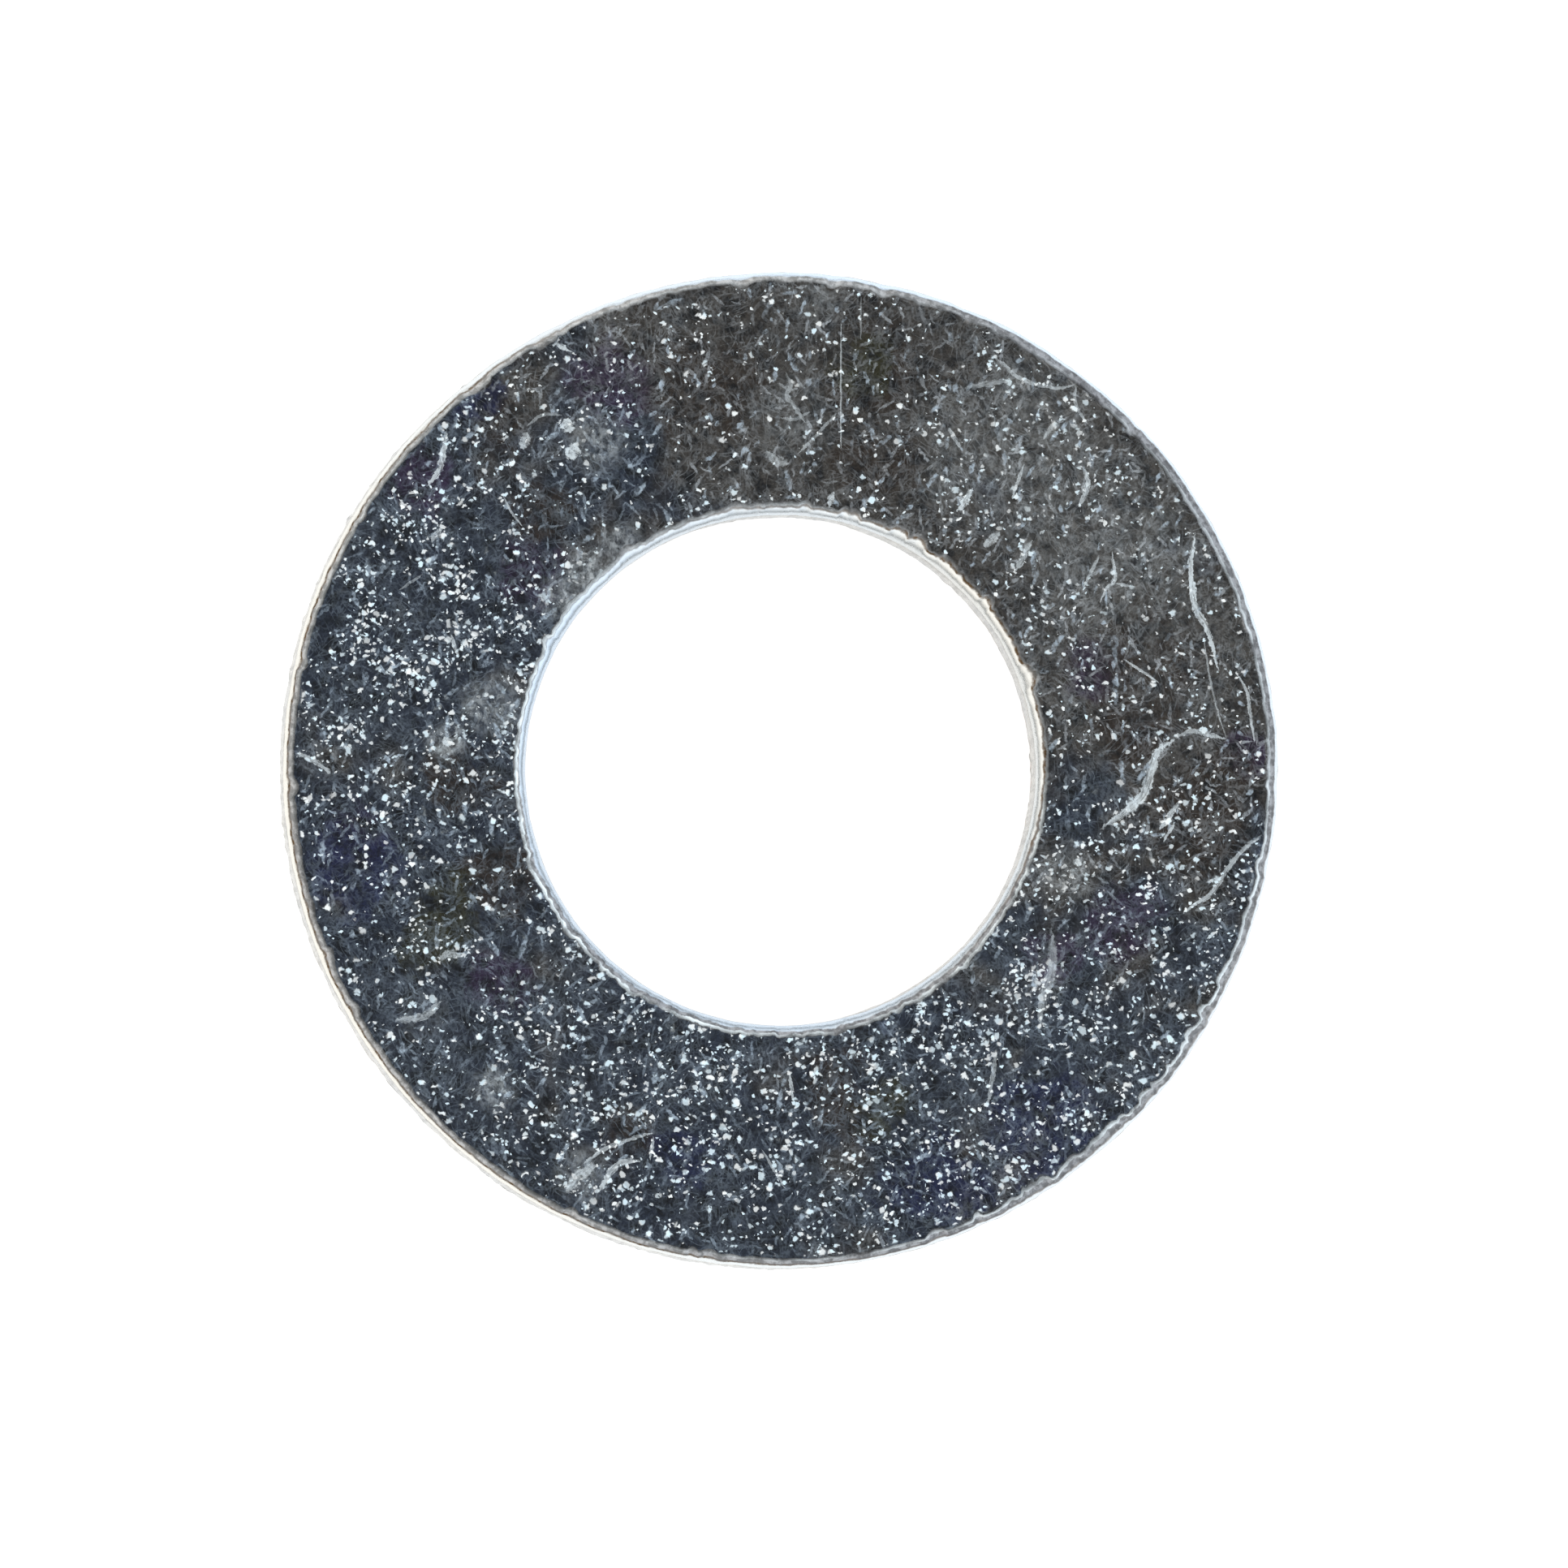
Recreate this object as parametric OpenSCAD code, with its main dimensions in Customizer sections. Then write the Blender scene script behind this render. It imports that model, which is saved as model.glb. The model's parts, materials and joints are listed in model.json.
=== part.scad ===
// Plain flat washer for an M6 bolt: one ring stamped from strip, then tumbled and plated.
// The frame's origin is on the bore's axis, in the lower bearing face, with +Z towards
// the face that the tool entered, whose two edges are rolled over.

/* [Washer] */
// Diameter of the bore at its straight land
bore_d = 6.4; // [6.1:0.1:7]
// Outer diameter
outer_d = 12.5; // [11:0.1:18]
// Thickness between the two bearing faces
thickness = 1.6; // [1.2:0.1:2.5]

/* [Stamped edges] */
// Radius of the edges that the tool rolled over, on the upper face
roll_r = 0.17; // [0.05:0.01:0.25]
// Share of the thickness where the metal broke instead of being cut, at the lower face
break_share = 0.3; // [0.1:0.05:0.5]
// How far each wall has drawn back where the broken zone meets the lower face
break_back = 0.05; // [0.02:0.01:0.12]

/* [Hidden] */

$fn = 180;
bore_r = bore_d / 2;
outer_r = outer_d / 2;
break_h = thickness * break_share;

// Section of the ring before its upper edges are rolled: straight lands above, broken zone below
module blanked_section()
    polygon([
        [bore_r + break_back, 0],
        [outer_r - break_back, 0],
        [outer_r, break_h],
        [outer_r, thickness],
        [bore_r, thickness],
        [bore_r, break_h]
    ]);

// What rolling takes off a square corner at the origin, with the metal below it and to its left
module rolled_off()
    difference() {
        translate([-roll_r, -roll_r])
            square(2 * roll_r);
        translate([-roll_r, -roll_r])
            circle(roll_r);
    }

module washer_section()
    difference() {
        blanked_section();
        translate([outer_r, thickness])
            rolled_off();
        translate([bore_r, thickness])
            mirror([1, 0])
                rolled_off();
    }

module washer()
    color("slategray")
        rotate_extrude()
            washer_section();

washer();
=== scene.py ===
"""A zinc plated flat washer, seen almost straight down on a white table.

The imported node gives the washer's sizes. It is replaced by one closed mesh of the same ring, with the
dents, scratches, wandering rolled edges, nibbled rim and sheared walls of a tumbled stamping.
Lengths are in millimetres until a mesh or an object is made, which is in metres.
"""

import json
import math

import bpy
import numpy as np
from mathutils import Matrix, Vector


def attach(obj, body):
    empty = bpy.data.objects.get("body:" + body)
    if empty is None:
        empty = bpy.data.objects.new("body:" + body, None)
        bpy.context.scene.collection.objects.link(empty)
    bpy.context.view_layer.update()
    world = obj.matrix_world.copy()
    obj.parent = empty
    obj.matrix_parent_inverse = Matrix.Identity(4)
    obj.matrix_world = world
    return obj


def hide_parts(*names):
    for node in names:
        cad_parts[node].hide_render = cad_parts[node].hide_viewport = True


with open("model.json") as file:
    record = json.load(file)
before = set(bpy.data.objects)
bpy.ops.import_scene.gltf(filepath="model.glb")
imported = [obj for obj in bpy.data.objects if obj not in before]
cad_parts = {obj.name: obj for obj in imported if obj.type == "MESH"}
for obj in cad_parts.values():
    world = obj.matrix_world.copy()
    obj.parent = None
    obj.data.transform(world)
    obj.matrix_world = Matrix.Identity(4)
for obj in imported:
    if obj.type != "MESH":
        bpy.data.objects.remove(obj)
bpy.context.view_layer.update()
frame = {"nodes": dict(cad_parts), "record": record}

MM = 0.001

# ---------------------------------------------------------------- sizes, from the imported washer

TOUCH = 0.005  # two heights or radii closer than this are the same


def cad_points(node):
    """Radius and height of every vertex of a CAD node, in millimetres."""
    points = np.array([v.co for v in frame["nodes"][node].data.vertices]) / MM
    return np.hypot(points[:, 0], points[:, 1]), points[:, 2]


def mount(name):
    return next(m for m in frame["record"]["mounts"] if m["name"] == name)


radii, heights = cad_points("washer")
THICK = heights.max()
OUTER_R = radii.max()
BORE_R = mount("bore")["dims"]["r_mm"]
ROLL_R = OUTER_R - radii[heights > THICK - TOUCH].max()
BREAK_BACK = OUTER_R - radii[heights < TOUCH].max()
BREAK_H = heights[radii > OUTER_R - TOUCH].min()
MID_R = (OUTER_R + BORE_R) / 2

# ---------------------------------------------------------------- marks that can be told apart

# Each scratch: width, how strongly it shines from 0 to 1, and its path as (x, y) on the upper face.
SCRATCHES = [
    # right: the long line along the rim, the bent scratch and the flakes beside them
    (0.09, 0.95, [(5.2, 3.0), (5.15, 2.6), (5.17, 2.25), (5.22, 2.0), (5.36, 1.75), (5.5, 1.25)]),
    (0.05, 0.7, [(5.3, 3.0), (5.45, 2.82), (5.6, 2.5), (5.7, 2.25), (5.85, 1.85), (5.95, 1.45)]),
    (0.05, 0.8, [(5.7, 1.25), (5.85, 1.0), (5.9, 0.7), (5.95, 0.35)]),
    (0.13, 0.9, [(4.0, -0.75), (4.35, -0.5), (4.55, -0.3), (4.65, 0.0), (4.75, 0.25), (4.95, 0.4)]),
    (0.07, 0.7, [(4.95, 0.4), (5.15, 0.5), (5.35, 0.45), (5.6, 0.4)]),
    (0.04, 0.8, [(4.3, 1.4), (4.75, 1.1)]),
    (0.08, 0.8, [(5.0, -0.4), (4.75, -0.75)]),
    (0.05, 0.8, [(4.95, -0.65), (4.8, -0.9)]),
    (0.07, 0.75, [(6.05, -0.8), (5.8, -1.0), (5.6, -1.25), (5.4, -1.55), (5.25, -1.65), (5.05, -1.8)]),
    (0.03, 0.5, [(5.3, 1.7), (5.4, 1.1), (5.5, 0.7), (5.6, 0.4)]),
    # upper right: strokes and small flags
    (0.05, 0.7, [(4.15, 2.75), (4.2, 2.4), (4.1, 2.3), (4.0, 2.1)]),
    (0.04, 0.6, [(4.2, 2.35), (4.45, 2.3)]),
    (0.05, 0.6, [(4.0, 2.7), (3.8, 2.3)]),
    (0.09, 0.7, [(3.15, 2.9), (2.95, 2.5)]),
    (0.12, 0.7, [(2.75, 3.0), (2.55, 2.8)]),
    (0.06, 0.55, [(2.65, 5.2), (2.85, 5.05), (2.95, 4.95), (3.2, 4.85), (3.5, 4.8), (3.7, 4.85)]),
    (0.05, 0.5, [(3.7, 4.85), (3.7, 4.6), (3.85, 4.35)]),
    (0.09, 0.5, [(2.3, 4.8), (2.6, 4.85), (2.9, 4.9)]),
    (0.06, 0.6, [(2.1, 4.3), (2.25, 4.05)]),
    (0.06, 0.5, [(3.45, 4.4), (3.3, 4.15)]),
    (0.05, 0.6, [(3.05, 3.85), (2.9, 3.4)]),
    (0.08, 0.7, [(3.8, 3.8), (3.85, 3.6), (3.75, 3.3)]),
    (0.09, 0.85, [(2.4, 3.55), (2.3, 3.35), (2.2, 3.25)]),
    # top: a knot of short strokes, a slanting line and a flake, the hair lines and a flake at the bore
    (0.07, 0.5, [(0.05, 5.0), (0.12, 4.83), (0.07, 4.7), (0.18, 4.55), (0.3, 4.35)]),
    (0.04, 0.4, [(-0.04, 4.86), (0.1, 4.77), (0.22, 4.8)]),
    (0.05, 0.4, [(-0.02, 4.42), (0.18, 4.4), (0.36, 4.5)]),
    (0.045, 0.5, [(0.72, 4.51), (0.45, 4.21), (0.2, 3.96)]),
    (0.13, 0.5, [(-0.2, 4.0), (-0.06, 3.88), (0.1, 3.84)]),
    (0.025, 0.6, [(0.75, 5.65), (0.75, 4.0)]),
    (0.025, 0.4, [(1.0, 5.95), (1.0, 5.4)]),
    (0.1, 0.8, [(0.65, 3.5), (0.6, 3.3)]),
    # upper left: the broken ring, a smear down from the rim, hair lines
    (0.2, 0.95, [(-2.74, 4.4), (-2.62, 4.24)]),
    (0.2, 0.95, [(-2.62, 4.1), (-2.62, 3.88)]),
    (0.15, 0.7, [(-3.2, 4.24), (-3.25, 4.02)]),
    (0.05, 0.5, [(-3.2, 4.3), (-3.0, 4.45), (-2.75, 4.45)]),
    (0.09, 0.85, [(-4.2, 4.25), (-4.25, 3.95), (-4.3, 3.75), (-4.45, 3.55)]),
    (0.03, 0.7, [(-3.5, 3.45), (-3.4, 3.25), (-3.25, 3.05)]),
    (0.08, 0.9, [(-3.1, 5.4), (-2.85, 5.35), (-2.65, 5.25)]),
    (0.09, 0.6, [(-4.25, 3.05), (-4.4, 2.85)]),
    # left: short strokes and the nick at the rim
    (0.05, 0.75, [(-4.15, 1.7), (-4.05, 1.4)]),
    (0.04, 0.5, [(-4.5, 2.45), (-4.8, 2.25)]),
    (0.08, 0.7, [(-6.1, 0.2), (-5.85, 0.1), (-5.65, -0.05)]),
    (0.13, 0.85, [(-4.25, 0.4), (-4.15, 0.3)]),
    # lower left: the leaf and two smears
    (0.06, 0.7, [(-2.5, -4.95), (-2.2, -4.75), (-1.95, -4.65), (-1.6, -4.55)]),
    (0.05, 0.7, [(-1.6, -4.6), (-1.65, -4.9)]),
    (0.09, 0.8, [(-1.75, -4.9), (-2.05, -4.95), (-2.3, -5.3)]),
    (0.14, 0.6, [(-2.3, -4.95), (-2.55, -5.1), (-2.7, -5.3)]),
    (0.12, 0.6, [(-4.85, -3.15), (-4.5, -3.1), (-4.25, -2.9)]),
    (0.1, 0.65, [(-4.3, -2.4), (-4.15, -2.3), (-4.0, -2.35)]),
    # bottom and lower right: light strokes and the pale streak down the face
    (0.05, 0.8, [(0.1, -3.8), (0.15, -4.15)]),
    (0.04, 0.6, [(-0.25, -4.75), (-0.1, -5.0), (0.05, -5.25)]),
    (0.07, 0.6, [(2.7, -3.5), (2.65, -3.9), (2.6, -4.2)]),
    (0.14, 0.5, [(3.4, -2.0), (3.4, -2.5), (3.3, -2.85), (3.25, -3.25)]),
]

# Each pale haze: centre (x, y) on the upper face, radius, strength.
HAZES = [
    (-2.0, 2.8, 0.35, 0.9),
    (-2.4, 2.5, 0.35, 1.0),
    (-2.75, 2.15, 0.35, 1.0),
    (-2.3, 4.1, 0.45, 0.7),
    (-3.65, 0.8, 0.45, 0.8),
    (-2.5, -5.1, 0.4, 0.7),
    (-3.6, -4.0, 0.35, 0.7),
    (-4.5, -3.1, 0.4, 0.2),
    (3.6, -1.3, 0.4, 0.7),
    (3.35, -2.6, 0.35, 0.25),
    (2.2, 3.6, 0.5, 0.4),
    (0.1, 4.4, 0.6, 0.4),
    (5.3, 2.9, 0.3, 0.5),
    (-4.2, 0.35, 0.3, 1.0),
    (0.5, 5.9, 0.4, 0.4),
    (2.9, 4.85, 0.4, 0.4),
    (4.3, 2.6, 1.3, 0.40),
    (3.0, 3.9, 1.3, 0.45),
    (4.9, 1.2, 1.0, 0.1),
]

# Each stain in the film: hue, centre (x, y) on the upper face, radius.
STAINS = [
    ("violet", -4.6, 3.65, 0.45),
    ("violet", -3.1, 2.5, 0.4),
    ("violet", -2.1, 4.9, 0.5),
    ("violet", 3.9, 1.3, 0.4),
    ("violet", 5.9, 0.2, 0.3),
    ("violet", 4.35, -1.9, 0.45),
    ("violet", 3.4, -2.3, 0.35),
    ("violet", -5.3, -0.9, 0.4),
    ("violet", -3.5, -2.7, 0.4),
    ("brown", -3.0, 3.2, 0.4),
    ("brown", -3.6, 4.3, 0.4),
    ("brown", -0.9, 4.8, 0.7),
    ("brown", 1.15, 5.0, 0.6),
    ("brown", 1.2, 3.9, 0.5),
    ("brown", 4.6, 1.5, 0.7),
    ("brown", 4.5, 0.6, 0.5),
    ("brown", 5.3, -0.5, 0.7),
    ("brown", -4.1, 0.0, 0.5),
    ("brown", -3.5, -1.4, 0.5),
    ("brown", 0.7, -4.1, 0.6),
    ("brown", -1.9, -4.6, 0.35),
    ("olive", 1.0, 5.1, 0.4),
    ("olive", -4.2, -1.7, 0.4),
    ("olive", -4.45, -2.2, 0.35),
    ("olive", 1.3, -4.2, 0.4),
    ("indigo", 3.4, -4.6, 0.8),
    ("indigo", 2.0, -5.3, 0.7),
    ("indigo", -1.2, -4.85, 0.45),
    ("indigo", -5.3, -1.2, 0.6),
    ("indigo", -3.9, 4.7, 0.4),
]
STAIN_COLOURS = {
    "violet": (0.150, 0.105, 0.215, 1),
    "brown": (0.146, 0.117, 0.098, 1),
    "olive": (0.150, 0.150, 0.085, 1),
    "indigo": (0.085, 0.105, 0.260, 1),
}

# Round the ring: angle from +X in degrees, how crowded the bright specks of painted glint are, how grey the
# film is.
REGIONS = [
    (0, 0.37, 0.75),
    (30, 0.31, 0.8),
    (60, 0.48, 0.9),
    (90, 0.24, 1.1),
    (115, 0.29, 0.5),
    (138, 0.5, 0.3),
    (150, 1.02, 0.2),
    (165, 0.96, 0.15),
    (195, 0.45, 0.3),
    (220, 0.48, 0.15),
    (250, 0.78, 0.15),
    (285, 0.95, 0.2),
    (320, 1.0, 0.25),
    (345, 0.58, 0.55),
]

# Along the rim and along the bore: angle, then the painted highlight line, the side's painted shade and warm
# tint, the painted sheen, and where across the rolled edge its pale band of painted highlight begins, from 0
# at the face to 1 at the wall.
RIM_EDGE = [
    (0, 0.55, 0.2, 0.05, 0.54),
    (35, 0.35, 0.0, 0.0, 0.58),
    (60, 0.15, 0.0, 0.0, 0.53),
    (90, 0.1, 0.0, 0.3, 0.40),
    (125, 0.3, 0.5, 0.3, 0.42),
    (150, 0.3, 0.9, 0.3, 0.44),
    (180, 0.1, 1.0, 0.2, 0.47),
    (215, 0.1, 1.0, 0.2, 0.48),
    (240, 0.1, 0.9, 0.2, 0.49),
    (260, 0.2, 0.6, 0.1, 0.50),
    (290, 0.5, 0.4, 0.0, 0.54),
    (330, 0.8, 0.3, 0.1, 0.60),
]
BORE_EDGE = [
    (0, 0.3, 0.7, 0.1, 0.26),
    (45, 0.1, 0.8, 0.2, 0.25),
    (70, 0.1, 0.5, 0.2, 0.25),
    (90, 0.3, 0.4, 0.1, 0.31),
    (120, 0.3, 0.3, 0.1, 0.26),
    (150, 0.7, 0.0, 0.1, 0.24),
    (180, 1.0, 0.0, 0.2, 0.31),
    (215, 1.0, 0.0, 0.0, 0.43),
    (250, 0.9, 0.0, 0.0, 0.41),
    (275, 0.5, 0.0, 0.0, 0.34),
    (300, 0.5, 0.2, 0.0, 0.41),
    (330, 1.0, 0.4, 0.0, 0.44),
]

# ---------------------------------------------------------------- shape of the ring

COLUMNS = 780  # places round the ring
# Rows of each zone of the section, from the bore's lower edge up, over the face, and down and under
ROWS = {
    "bore_break": 4,
    "bore_land": 6,
    "bore_roll": 6,
    "top": 76,
    "rim_roll": 6,
    "rim_land": 6,
    "rim_break": 4,
    "under": 12,
}
TAU = 2 * math.pi

# Usual width of each rolled edge, in shares of ROLL_R, and how far it wanders slowly and quickly
RIM_WIDTH, RIM_WANDER, RIM_SHAKE = 0.86, 0.07, 0.05
BORE_WIDTH, BORE_WANDER, BORE_SHAKE = 1.20, 0.10, 0.05
RIM_JAGS, BORE_JAGS = 0.02, 0.035

# The rim's rolled edge is wider on two sides, most where it faces this way
WIDE_HEADING = math.radians(20)
WIDE_BOTH, WIDE_ONE = 0.15, 0.05

# Nibbles in the rolled edges: count, from and to which angle, width in degrees, height
RIM_NIBBLES = [
    (44, -72, -14, (0.4, 1.1), (0.02, 0.09)),
    (26, 0, 360, (0.4, 1.2), (0.02, 0.06)),
    (4, 116, 127, (0.6, 1.2), (0.04, 0.07)),
]
BORE_NIBBLES = [
    (18, 0, 360, (1.0, 3.0), (0.02, 0.07)),
    (9, 10, 80, (0.8, 2.2), (0.04, 0.10)),
]

# Dents: count, lowest and highest (radius, height) of their centres, size, and depth as a share of it
DENTS = [
    (700, (BORE_R, THICK), (OUTER_R, THICK), (0.05, 0.13), 0.07),
    (90, (BORE_R, THICK), (OUTER_R, THICK), (0.15, 0.3), 0.03),
    (120, (BORE_R, 0), (OUTER_R, 0), (0.1, 0.3), 0.04),
    (90, (OUTER_R, 0), (OUTER_R, THICK), (0.05, 0.14), 0.06),
    (40, (BORE_R, 0), (BORE_R, THICK), (0.05, 0.12), 0.06),
]

# Unevenness as (how far it reaches, its wavelength): everywhere, along the drawn walls, where the metal
# tore, and along the rim
WAVES = [(0.0025, 1.6), (0.0012, 0.5)]
DRAWN_WAVES = [(0.0015, 0.12), (0.002, 0.3)]
TORN_WAVE = (0.006, 0.16)
RIM_WAVE = (0.003, 0.5)
DRAWN_LENGTH = 0.12  # the drawn walls' waves are longer upright by one over this

GROOVE, LIPS = 0.05, 0.03  # how deep a scratch is and how high its lips are, in shares of its width
NEAR = 0.16  # how far from a scratch its own coordinates are kept
LAYERS = 4  # sets of scratch coordinates
SHARP = math.radians(50)  # edges that bend more than this aren't shaded smooth
RUST_REACH = 0.25  # how far above and below the torn zone's top the rust specks lie
STAIN_SPREAD = 1.6  # a stain has faded out at this many of its radii
CROWDING, CROWDING_SWING, CROWDING_LENGTH = 0.85, 0.30, 0.9  # how the specks' crowding varies over the face


def ripple(angle, rng, waves):
    """A closed wandering line round the ring, mostly within -1 to 1, of the given numbers of waves."""
    line = np.zeros_like(angle)
    for count in waves:
        line += np.sin(count * angle + rng.uniform(0, TAU)) * rng.uniform(0.6, 1.0)
    return line / math.sqrt(len(waves))


def bumps(angle, rng, count, low, high, width, height):
    """Rounded bumps of random place between two angles in degrees, of random width in degrees and height."""
    line = np.zeros_like(angle)
    for _ in range(count):
        place = math.radians(rng.uniform(low, high))
        half = math.radians(rng.uniform(*width))
        off = np.abs((angle - place + math.pi) % TAU - math.pi) / half
        line = np.maximum(line, np.clip(1 - off**2, 0, 1) ** 0.6 * rng.uniform(*height))
    return line


def swell(points, rng, length, count=28):
    """Gentle unevenness with a wavelength of about length, from plane waves in random directions."""
    total = np.zeros(len(points))
    for _ in range(count):
        heading = rng.normal(size=3)
        heading *= TAU / (length * rng.uniform(0.7, 1.4)) / np.linalg.norm(heading)
        total += np.sin(points @ heading + rng.uniform(0, TAU))
    return total / math.sqrt(count / 2)


def spaced(count, crowd):
    """count places from 0 towards 1, closer together towards both ends as crowd nears 1."""
    even = np.linspace(0, 1, count + 1)
    eased = even * (1 - crowd) + (1 - np.cos(even * math.pi)) / 2 * crowd
    return eased[:-1]


def rolled_widths(angle):
    """How wide the rolled edges of the rim and of the bore are at every place round the ring."""
    rng = np.random.default_rng(11)
    fine = ripple(angle, rng, (61, 83, 97, 131, 149))
    jags = np.convolve(np.tile(rng.normal(size=COLUMNS), 3), (0.5, 1.0, 0.5), "same")[COLUMNS:-COLUMNS]
    facing = np.cos(angle - WIDE_HEADING)
    wide = WIDE_BOTH * np.abs(facing) + WIDE_ONE * facing
    wander = RIM_WANDER * ripple(angle, rng, (5, 9, 14, 23))
    rim = ROLL_R * (RIM_WIDTH + wide + wander + RIM_SHAKE * fine + RIM_JAGS * jags[::-1])
    for nibbles in RIM_NIBBLES:
        rim += bumps(angle, rng, *nibbles)
    wander = BORE_WANDER * ripple(angle, rng, (4, 7, 13, 19))
    bore = ROLL_R * (BORE_WIDTH + wander + BORE_SHAKE * fine[::-1] + BORE_JAGS * jags)
    for nibbles in BORE_NIBBLES:
        bore += bumps(angle, rng, *nibbles)
    return rim, bore


def ring_grid():
    """Rows of the ring's section: zone, radius, height, outward normal, and how far down the rolled edge."""
    angle = np.arange(COLUMNS) * TAU / COLUMNS
    rim_roll, bore_roll = rolled_widths(angle)
    ones = np.ones(COLUMNS)
    rows = []

    def add(zone, radius, height, normal, down=0):
        rows.append((zone, radius * ones, height * ones, normal[0] * ones, normal[1] * ones, down))

    slope = BREAK_BACK / BREAK_H
    for t in spaced(ROWS["bore_break"], 0):
        add("bore_break", BORE_R + BREAK_BACK * (1 - t), BREAK_H * t, (-1, -slope))
    for t in spaced(ROWS["bore_land"], 0):
        add("bore_land", BORE_R, BREAK_H + (THICK - bore_roll - BREAK_H) * t, (-1, 0))
    for t in spaced(ROWS["bore_roll"], 0):
        out, up = math.cos(t * math.pi / 2), math.sin(t * math.pi / 2)
        add("bore_roll", BORE_R + bore_roll * (1 - out), THICK - bore_roll * (1 - up), (-out, up), 1 - t)
    for t in spaced(ROWS["top"], 0.25):
        add("top", (BORE_R + bore_roll) * (1 - t) + (OUTER_R - rim_roll) * t, THICK, (0, 1))
    for t in spaced(ROWS["rim_roll"], 0):
        out, up = math.sin(t * math.pi / 2), math.cos(t * math.pi / 2)
        add("rim_roll", OUTER_R - rim_roll * (1 - out), THICK - rim_roll * (1 - up), (out, up), t)
    for t in spaced(ROWS["rim_land"], 0):
        add("rim_land", OUTER_R, THICK - rim_roll - (THICK - rim_roll - BREAK_H) * t, (1, 0))
    for t in spaced(ROWS["rim_break"], 0):
        add("rim_break", OUTER_R - BREAK_BACK * t, BREAK_H * (1 - t), (1, -slope))
    for t in spaced(ROWS["under"], 0.6):
        add("under", (OUTER_R - BREAK_BACK) * (1 - t) + (BORE_R + BREAK_BACK) * t, 0, (0, -1))
    return angle, rows


def smooth_path(corners, step=0.03):
    """A curve through the corners, as points about step apart."""
    p = np.array(corners, float)
    p = np.vstack([2 * p[0] - p[1], p, 2 * p[-1] - p[-2]])
    out = []
    for a, b, c, d in zip(p[:-3], p[1:-2], p[2:-1], p[3:]):
        count = max(2, int(np.linalg.norm(c - b) / step))
        for t in np.arange(count) / count:
            out.append(0.5 * (2 * b + (c - a) * t + (2 * a - 5 * b + 4 * c - d) * t**2
                              + (3 * b - a - 3 * c + d) * t**3))
    return np.array(out + [p[-2]])


def along_across(xy, path):
    """For every point: how far along the path its nearest place is, from 0 to 1, and the signed distance."""
    starts, steps = path[:-1], np.diff(path, axis=0)
    lengths = np.linalg.norm(steps, axis=1)
    travelled = np.concatenate([[0], np.cumsum(lengths)])
    best = np.full(len(xy), np.inf)
    along = np.zeros(len(xy))
    across = np.zeros(len(xy))
    last = len(starts) - 1
    for i, (start, step, length) in enumerate(zip(starts, steps, lengths)):
        off = xy - start
        t = off @ step / length**2
        held = np.clip(t, 0, 1)
        side = (step[0] * off[:, 1] - step[1] * off[:, 0]) / length
        away = np.hypot(*(off - held[:, None] * step).T)
        nearer = away < best
        run = np.where((i == 0) & (t < 0) | (i == last) & (t > 1), t, held)
        best[nearer] = away[nearer]
        along[nearer] = ((travelled[i] + run * length) / travelled[-1])[nearer]
        across[nearer] = np.where(held == t, side, np.copysign(away, side))[nearer]
    return along, across, best


def scratch_layers(xy, on_top):
    """Each scratch's own coordinates on the points near it, and how far the scratches push the surface.

    A layer holds (across in half widths, along, shine). Scratches that come close to each other go to
    different layers, so that in a layer the coordinates run evenly across every scratch, and the material
    can draw its edges finer than the mesh.
    """
    layers = [np.zeros((len(xy), 3)) for _ in range(LAYERS)]
    nearest = [np.full(len(xy), np.inf) for _ in range(LAYERS)]
    push = np.zeros(len(xy))
    apart = 2.2 * NEAR
    for width, shine, corners in SCRATCHES:
        along, across, away = along_across(xy, smooth_path(corners))
        close = on_top & (away < apart)
        clash = [(np.isfinite(n) & (n < apart) & close).sum() for n in nearest]
        layer = int(np.argmin(clash))
        better = on_top & (away < nearest[layer])
        nearest[layer][better] = away[better]
        kept = np.where(away < NEAR, shine, 0.0)
        values = np.stack([across / (width / 2), along, kept], 1)
        layers[layer][better] = values[better]
        inside = on_top & (along > 0) & (along < 1)
        taper = width * np.clip(4 * along * (1 - along), 0, 1) ** 0.5
        groove = np.exp(-((across / (0.45 * width)) ** 2))
        lips = np.exp(-(((np.abs(across) - 0.8 * width) / (0.3 * width)) ** 2))
        push += np.where(inside, taper * (LIPS * lips - GROOVE * groove), 0)
    return layers, push


def dents(points, rng, count, low, high, radius, share):
    """Round dents left by tumbling: how far each pushes the surface in, at random places on the ring."""
    push = np.zeros(len(points))
    for _ in range(count):
        turn = rng.uniform(0, TAU)
        out = math.sqrt(rng.uniform(low[0] ** 2, high[0] ** 2))
        centre = np.array([out * math.cos(turn), out * math.sin(turn), rng.uniform(low[1], high[1])])
        size = rng.uniform(*radius)
        box = np.abs(points - centre).max(1) < 1.6 * size
        off = np.linalg.norm(points[box] - centre, axis=1) / size
        bowl = -np.clip(1 - off**2, 0, 1) ** 1.5 + 0.25 * np.exp(-(((off - 1.1) / 0.22) ** 2))
        push[box] += bowl * size * share
    return push


def unevenness(points, zone, rng):
    """How far the surface stands in or out, without its scratches."""
    broken, on_rim = np.char.endswith(zone, "break"), np.char.startswith(zone, "rim")
    push = sum(reach * swell(points, rng, length) for reach, length in WAVES)
    for batch in DENTS:
        push += dents(points, rng, *batch)
    upright = points * (1, 1, DRAWN_LENGTH)
    on_wall = np.char.endswith(zone, "land") | broken
    push += on_wall * sum(reach * swell(upright, rng, length) for reach, length in DRAWN_WAVES)
    push += broken * TORN_WAVE[0] * swell(points, rng, TORN_WAVE[1])
    push += on_rim * (points[:, 2] > 0) * RIM_WAVE[0] * swell(points, rng, RIM_WAVE[1])
    return push


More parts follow.
